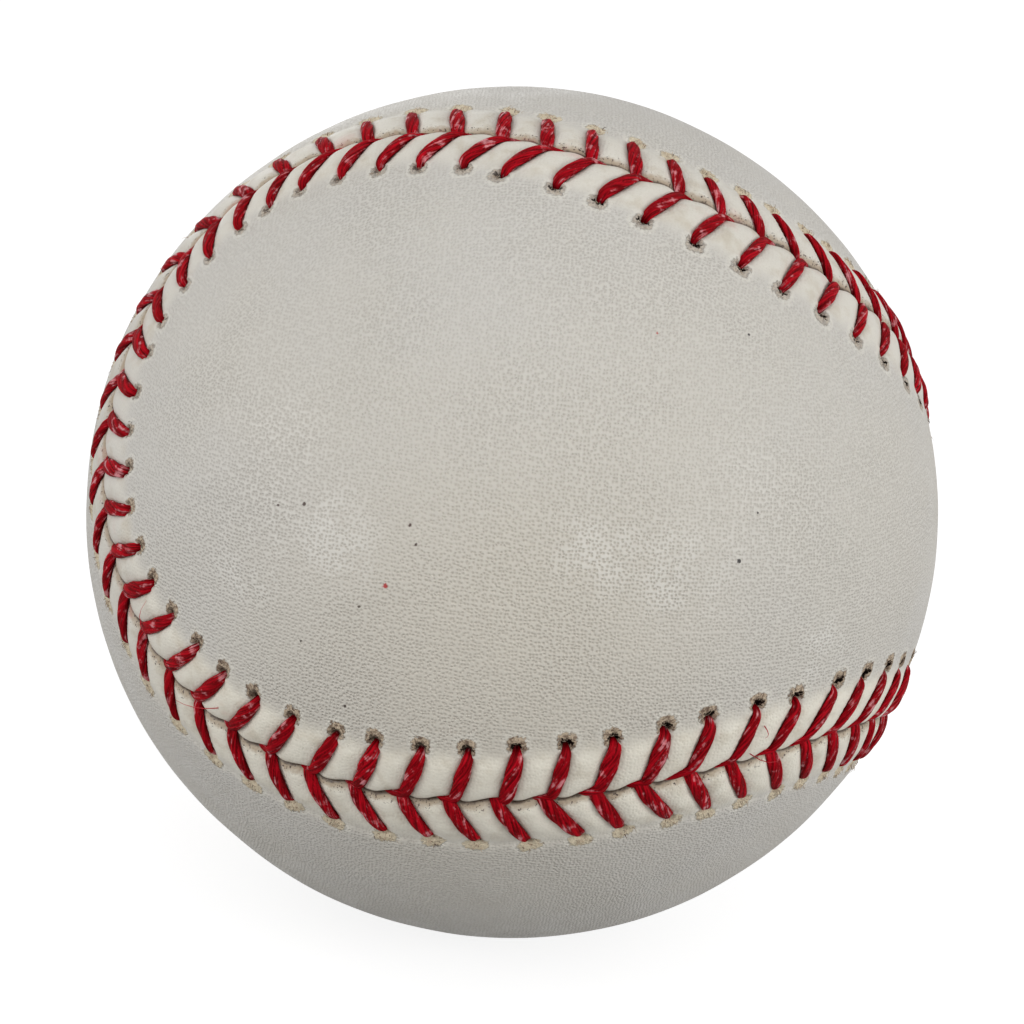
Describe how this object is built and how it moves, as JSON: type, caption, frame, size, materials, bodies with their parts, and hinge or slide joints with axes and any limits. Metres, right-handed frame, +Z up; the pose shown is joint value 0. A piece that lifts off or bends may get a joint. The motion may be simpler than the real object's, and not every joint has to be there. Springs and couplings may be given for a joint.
{
  "type": "baseball",
  "caption": "Hand-stitched leather ball, wound with wool round a rubber-cased cork core, that fits one hand for pitching, catching and batting.",
  "frame": {"origin": "centre of the ball", "axes": "+Z up as the ball lies in the picture; +Y away from the viewer, so the pictured side faces -Y; +X to the viewer's right"},
  "size_m": [0.0744, 0.0744, 0.0744],
  "materials": {
    "cork": "cork grains bound with rubber, matt",
    "black_rubber": "moulded, matt",
    "gasket_rubber": "soft, matt",
    "red_rubber": "moulded, matt",
    "grey_wool": "wound woollen yarn",
    "white_wool": "wound woollen yarn",
    "cotton_yarn": "fine wound cotton and polyester yarn",
    "rubber_cement": "thin dried film, slightly tacky",
    "white_leather": "alum-tanned cowhide, pebbled, soft sheen",
    "red_thread": "waxed twisted cotton"
  },
  "bodies": {
    "root": {"cork_core": "cork", "black_rubber_shell_upper": "black_rubber", "rubber_gasket": "gasket_rubber", "black_rubber_shell_lower": "black_rubber", "red_rubber_shell_left": "red_rubber", "red_rubber_shell_right": "red_rubber", "first_wool_winding": "grey_wool", "second_wool_winding": "white_wool", "third_wool_winding": "grey_wool", "finishing_winding": "cotton_yarn", "cement_coat": "rubber_cement", "cover_panel_front": "white_leather", "cover_panel_back": "white_leather", "thread_first_needle": "red_thread", "thread_second_needle": "red_thread"}
  },
  "joints": []
}
